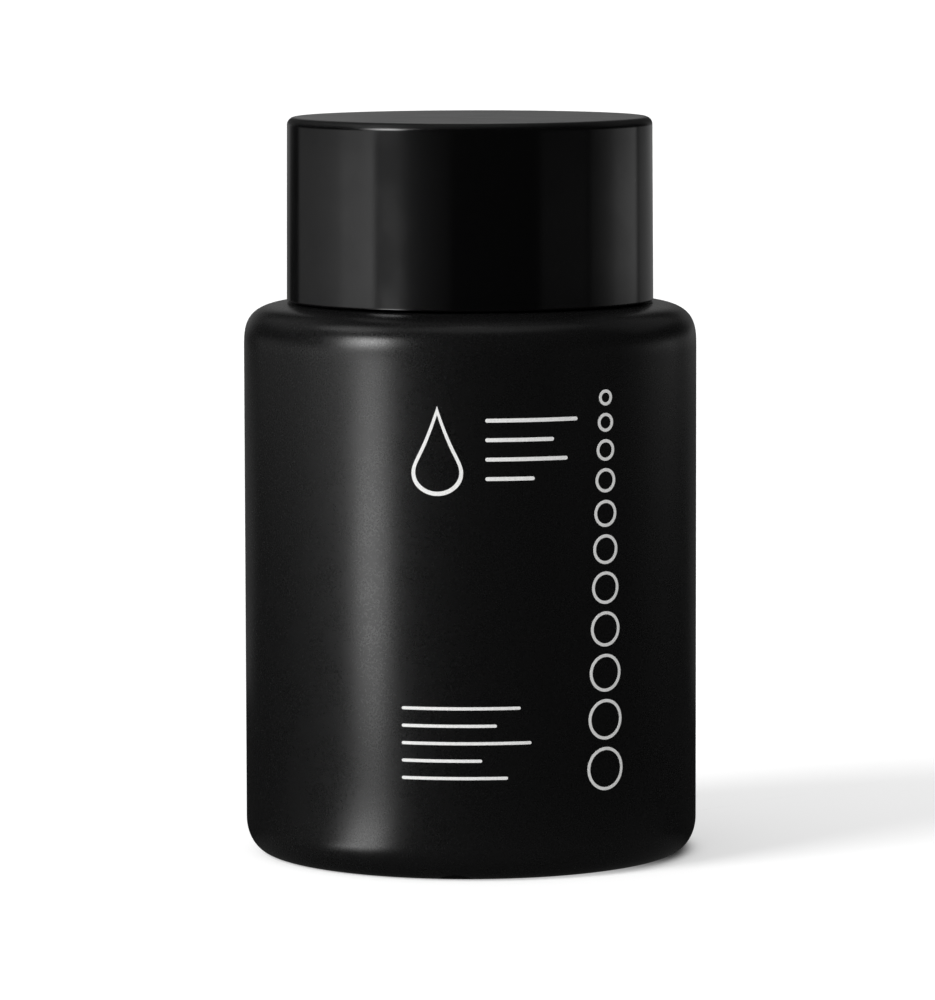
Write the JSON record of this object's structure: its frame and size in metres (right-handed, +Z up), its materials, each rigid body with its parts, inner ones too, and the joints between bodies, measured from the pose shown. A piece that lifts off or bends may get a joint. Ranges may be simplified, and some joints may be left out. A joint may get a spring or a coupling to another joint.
{
  "type": "nail polish remover jar",
  "caption": "Round wide-mouthed jar with a soaked sponge and finger hole inside, closed by a smooth screw cap that rises on its thread.",
  "frame": {"origin": "centre of the jar's foot ring, on the surface that it stands on", "axes": "+Z up along the jar's axis; the printed front and the heel notch face -Y; +X is to the right of the front"},
  "size_m": [0.0504, 0.0504, 0.082],
  "materials": {
    "jar_black_matt": "fine matt black moulded plastic",
    "sponge_foam": "open-cell foam, soaked",
    "remover_clear": "clear liquid",
    "seal_foam": "closed-cell foam sheet",
    "cap_inner_white": "natural white moulded plastic",
    "cap_black_satin": "smooth satin black moulded plastic"
  },
  "bodies": {
    "jar": {"jar_body": "jar_black_matt", "sponge_insert": "sponge_foam", "remover_fluid": "remover_clear"},
    "seal": {"seal_disc": "seal_foam"},
    "cap": {"cap_inner_shell": "cap_inner_white", "cap_outer_shell": "cap_black_satin"}
  },
  "joints": [
    {"name": "cap_rise", "type": "slide", "parent": "jar", "child": "seal", "axis": [0, 0, 1], "range_m": [0, 0.0212]},
    {"name": "cap_turn", "type": "hinge", "parent": "seal", "child": "cap", "pos_m": [0, 0, 0.07731], "axis": [0, 0, 1], "range_deg": [0, 1800]}
  ],
  "couplings": [
    {"joint": "cap_rise", "follows": "cap_turn", "m_per_rad": 0.00067375}
  ]
}
